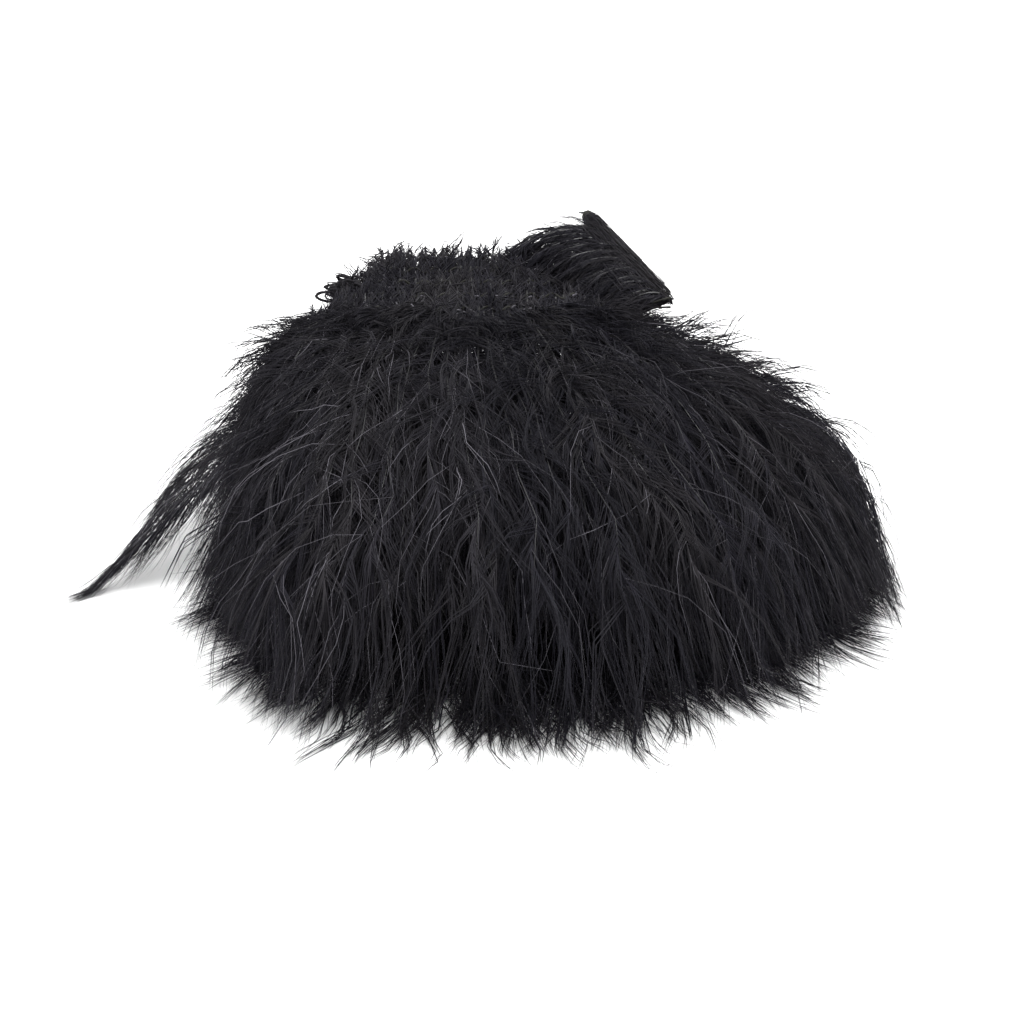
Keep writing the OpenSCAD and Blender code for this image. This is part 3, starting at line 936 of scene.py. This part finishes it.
def along_route(route, f):
    """Places at shares f of a smooth curve through the route's points, and straight on past its end."""
    route = np.array(route)
    length = np.concatenate([[0], np.cumsum(np.linalg.norm(np.diff(route, axis=0), axis=1))])
    want = np.clip(f, 0, 1) * length[-1]
    i = np.clip(np.searchsorted(length, want, side="right") - 1, 0, len(route) - 2)
    t = ((want - length[i]) / (length[i + 1] - length[i]))[..., None]
    tangents = np.gradient(route, length, axis=0)
    gap = (length[i + 1] - length[i])[..., None]
    return (
        (2 * t**3 - 3 * t**2 + 1) * route[i]
        + (t**3 - 2 * t**2 + t) * gap * tangents[i]
        + (3 * t**2 - 2 * t**3) * route[i + 1]
        + (t**3 - t**2) * gap * tangents[i + 1]
        + (np.maximum(f - 1, 0) * length[-1])[..., None] * tangents[-1]
    )


def route_plume(route, up, rng, count, barb_len, lean, start, sag, beyond, closing, thickness, hairs):
    """The barbs and the quill of one feather along a route of its own.

    lean is how far its barbs stand off the shaft, at its start and at its end, start is the share of
    the route where they begin, and closing the share over which they draw together towards its tip.
    """
    family = rng.integers(0, (LANES - 16) // 16)
    whole = np.linalg.norm(np.diff(np.array(route), axis=0), axis=1).sum()
    bits = []
    for number, stations, lanes, thick, kink in (
        (count, 5, DOWN_LANES, thickness, 0.0),
        # the hairs take the painted highlight lanes
        (hairs, 6, PAINTED_HIGHLIGHT_LANES, 0.000055, 0.0004),
    ):
        t = np.linspace(0, 1, stations) ** 1.1
        side = rng.choice([-1.0, 1.0], number)
        f0 = np.sort(start + (0.92 - start) * rng.uniform(0, 1, number) ** 0.9)
        group = (np.arange(number) // tuft) * 2 + (side > 0)
        groups = group.max() + 1
        angle = mix(lean[0], lean[1], f0) + rng.normal(0, 0.12, groups)[group]
        length = rng.uniform(*barb_len, groups)[group] * rng.uniform(0.92, 1.08, number)
        f1 = np.minimum(f0 + length * np.cos(angle) / whole, 1 + beyond / whole * rng.uniform(0.1, 1, number))
        f = f0[:, None] + (np.maximum(f1, f0 + 0.05) - f0)[:, None] * t
        here = along_route(route, f)
        ahead = unit(along_route(route, f + 0.01) - along_route(route, f - 0.01))
        across = unit(np.cross(ahead, up))
        roll = rng.normal(0, 0.5, groups)[group]
        spread = 1 - (1 - t) ** 1.7
        off = (length * np.sin(angle))[:, None] * spread * np.clip((1.1 - f) / closing, 0.08, 1)
        paths = (
            here
            + (side[:, None] * off * np.cos(roll)[:, None])[..., None] * across
            + (off * np.sin(roll)[:, None])[..., None] * np.cross(across, ahead)
            + rng.normal(0, 0.0012, (groups, 1, 3))[group] * (t**2)[None, :, None]
            + rng.normal(0, 0.0005, (number, 1, 3)) * (t**2)[None, :, None]
        )
        paths[..., 2] -= sag * t**1.5
        if kink:
            paths[:, 1:] += np.cumsum(rng.normal(0, kink, paths[:, 1:].shape), axis=1)
        paths[..., 2] = np.maximum(paths[..., 2], rng.uniform(0.0002, 0.0015, number)[:, None])
        radii = np.outer(thick * rng.uniform(0.7, 1.25, number), 1.05 - 0.95 * t**1.6)
        lane = (family * 16 + rng.integers(*lanes, number) + 0.5) / (LANES - 16)
        bits.append((*spikes(paths, radii, lane), 0))
    shaft = along_route(route, np.linspace(0, 0.82, 14))
    rings, gone = tube(shaft, quill_r * mix(0.62, 0.12, np.linspace(0, 1, 14)), 5)
    # Two lanes in sixteen give a quill the painted highlight colour, a painted glint.
    quill_lane = LANES - 16 + rng.integers(0, 16)
    quill = skin(rings, gone / gone[-1], ((quill_lane + 0.15) / LANES, 0.7 / LANES))
    return [*bits, (*quill, 1)]


end_rng = np.random.default_rng(41)
end_bits = []
for share in np.linspace(0.02, 1, 40):
    size = mix(0.012, 0.024, share)
    foot = mix(end_fold, end_peak, share) + end_rng.normal(0, 0.0003, 3)
    turned = unit(end_lie + end_along * end_rng.normal(0.0, 0.12) + end_up * end_rng.normal(0, 0.06))
    route = [
        foot - end_rng.uniform(0.0003, 0.0012) * turned,
        foot,
        foot + 0.35 * size * turned + 0.0004 * end_up,
        foot + 0.7 * size * turned - 0.0014 * end_up,
        foot + size * turned - 0.0055 * end_up,
    ]
    end_bits += route_plume(
        route,
        end_up,
        end_rng,
        count=116,
        barb_len=(0.005, 0.010),
        lean=(0.7, 0.15),
        start=0.02,
        sag=0.002,
        beyond=0.003,
        closing=0.45,
        thickness=0.0001,
        hairs=1,
    )


def wrap_down(first, last, rng, count, length, radius):
    """Down that lies along a stretch of string, close round it, and draws to a point at its far end."""
    whole = np.linalg.norm(last - first)
    along = (last - first) / whole
    a = unit(np.cross(along, [0.2, 0.1, 1.0]))
    b = np.cross(along, a)
    t = np.linspace(0, 1, 5)
    start = whole * rng.uniform(0, 0.93, count)
    stop = np.minimum(start + rng.uniform(*length, count), whole * rng.uniform(0.97, 1, count))
    gone = start[:, None] + (stop - start)[:, None] * t
    angle = rng.uniform(0, 2 * math.pi, count)[:, None] + rng.normal(0, 0.5, count)[:, None] * t
    off = rng.uniform(*radius, count)[:, None] * np.clip((whole - gone) / 0.006, 0.02, 1) ** 0.8
    off = off * np.clip(0.35 + gone / 0.004, 0, 1)
    paths = (
        first
        + gone[..., None] * along
        + (off * np.cos(angle))[..., None] * a
        + (off * np.sin(angle))[..., None] * b
    )
    radii = np.outer(fluff_r * rng.uniform(0.7, 1.25, count), 1.05 - 0.9 * t**1.6)
    family = rng.integers(0, (LANES - 16) // 16)
    lane = (family * 16 + rng.integers(*DOWN_LANES, count) + 0.5) / (LANES - 16)
    return (*spikes(paths, radii, lane), 0)


# Round the threads, then in rows beside them over the feet of the feathers, then round the knot
end_knot_tip = end_peak + 0.0075 * end_along
end_bits.append(
    wrap_down(end_fold - 0.002 * end_along, end_knot_tip, end_rng, 800, (0.009, 0.016), (0.0007, 0.0021))
)
for aside, count in ((0.0022, 420), (0.0045, 300), (0.0075, 240)):
    beside = aside * end_lie - 0.1 * aside * end_up
    row_end = end_peak + 0.002 * end_along + beside
    end_bits.append(
        wrap_down(end_fold + beside, row_end, end_rng, count, (0.009, 0.015), (0.0002, 0.0022))
    )
knot_cover = end_peak - 0.006 * end_along
knot_end = end_peak + 0.0078 * end_along
end_bits.append(wrap_down(knot_cover, knot_end, end_rng, 260, (0.006, 0.012), (0.0012, 0.0024)))
loose_end = object_from("marabou_loose_end", end_bits, [down, quill_horn])
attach(loose_end, "loose_end")
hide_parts("loose_end_plumes")

# ---------------------------------------------------------------------------------------------
# Loose down of the string: it clings by its barbs round the last stretch before the fold, and on
# the left shoulder of the coil it has worked free of the stitching and stands off in open loops.
# One hair of it has curled out from under the front.
# ---------------------------------------------------------------------------------------------

last_quill = coil_frames[0][-1]
past_fold = end_fold + 0.0015 * unit(end_fold - last_quill)
loop_rng = np.random.default_rng(42)
loose_bits = [wrap_down(last_quill, past_fold, loop_rng, 420, (0.006, 0.012), (0.0005, 0.0019))]

first_loop, last_loop = 104, 186
least_bulge, most_bulge = 0.0025, 0.0092
strands = 4
for turned in np.linspace(first_loop, last_loop, 15):
    deep = loop_rng.uniform(1.6, 2.4)
    w, h, r = turn_size(deep)
    t = np.linspace(0, 1, 11)
    arch = np.sin(math.pi * t)
    share = (turned - first_loop) / (last_loop - first_loop)
    bulge = mix(least_bulge, most_bulge, share) * loop_rng.uniform(0.75, 1.1)
    wide = np.radians(loop_rng.uniform(26, 50))
    middle = math.radians(turned) + wide * (t - 0.5)
    far = r - 0.001 + bulge * arch**0.6 + loop_rng.normal(0, 0.0003, (strands, 1)) * arch
    paths = mouth((r - w) + far * np.cos(middle), (h - r) + far * np.sin(middle))
    depth = turn_step * deep + 0.002 * t + loop_rng.normal(0, 0.0004, (strands, 1))
    paths = paths + depth[..., None] * axis_v
    radii = np.outer(loop_rng.uniform(0.00014, 0.00026, strands), np.append(np.ones(10), 0.2))
    lane = (32 + loop_rng.integers(*DOWN_LANES, strands) + 0.5) / (LANES - 16)
    loose_bits.append((*spikes(paths, radii, lane), 0))

t = np.linspace(0, 1, 16)
curled_hair = np.stack(
    [
        0.0032 + 0.0011 * np.sin(9 * t) * t,
        -0.084 - 0.0124 * t,
        0.0008 + 0.0009 * np.sin(7 * t + 1) ** 2,
    ],
    axis=-1,
)
# The curled hair takes the last lane of its family, the painted highlight colour.
curled_lane = np.array([(15 + 0.5) / (LANES - 16)])
loose_bits.append((*spikes(curled_hair[None], np.full((1, 16), kinked_hair_r), curled_lane), 0))
string_down = object_from("marabou_string_down", loose_bits, [down, quill_horn])
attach(string_down, "coil")
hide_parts("turn_5_bend_plumes")

# ---------------------------------------------------------------------------------------------
# The stray plume: one plume of the left side, sewn in like the others, that has slipped out of the
# fan. Its six long feathers part as they hang down, and draw together to a tip on the floor.
# ---------------------------------------------------------------------------------------------

stray_seat = run_seats(stray_run)[stray_place]
stray_root = stitch_frames([stray_seat])[0][0]
stray_steps = [
    (-0.0008, -0.003, -0.0014),
    (-0.008, -0.006, -0.003),
    (-0.017, -0.011, -0.005),
    (-0.024, -0.020, -0.008),
    (-0.033, -0.034, -0.013),
    (-0.043, -0.046, -0.0205),
    (-0.0535, -0.055, -0.027),
]
stray_rng = np.random.default_rng(43)
stray_bits = []
for member, ends_at in ((-2.4, 5), (-1.2, 6), (0, 7), (1.2, 7), (2.2, 6), (3, 5)):
    route = [stray_root + butt_len * axis_v * 0.6, stray_root + member * 0.0003 * up_v]
    for i, step in enumerate(stray_steps[:ends_at]):
        apart = 0.0052 * math.sin(math.pi * ((i + 1) / 7.4) ** 0.75)
        route.append(stray_root + np.array(step) + member * apart * np.array([0.55, -0.65, 0.45]))
    stray_bits += route_plume(
        route,
        (0.0, 0.0, 1.0),
        stray_rng,
        count=170,
        barb_len=(0.016, 0.036),
        lean=(0.7, 0.08),
        start=0.08,
        sag=0.004,
        beyond=0.006,
        closing=0.95,
        thickness=0.000085,
        hairs=26,
    )
stray = object_from("marabou_stray_plume", stray_bits, [down, quill_horn])
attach(stray, "stray_plume")
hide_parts("stray_plume")
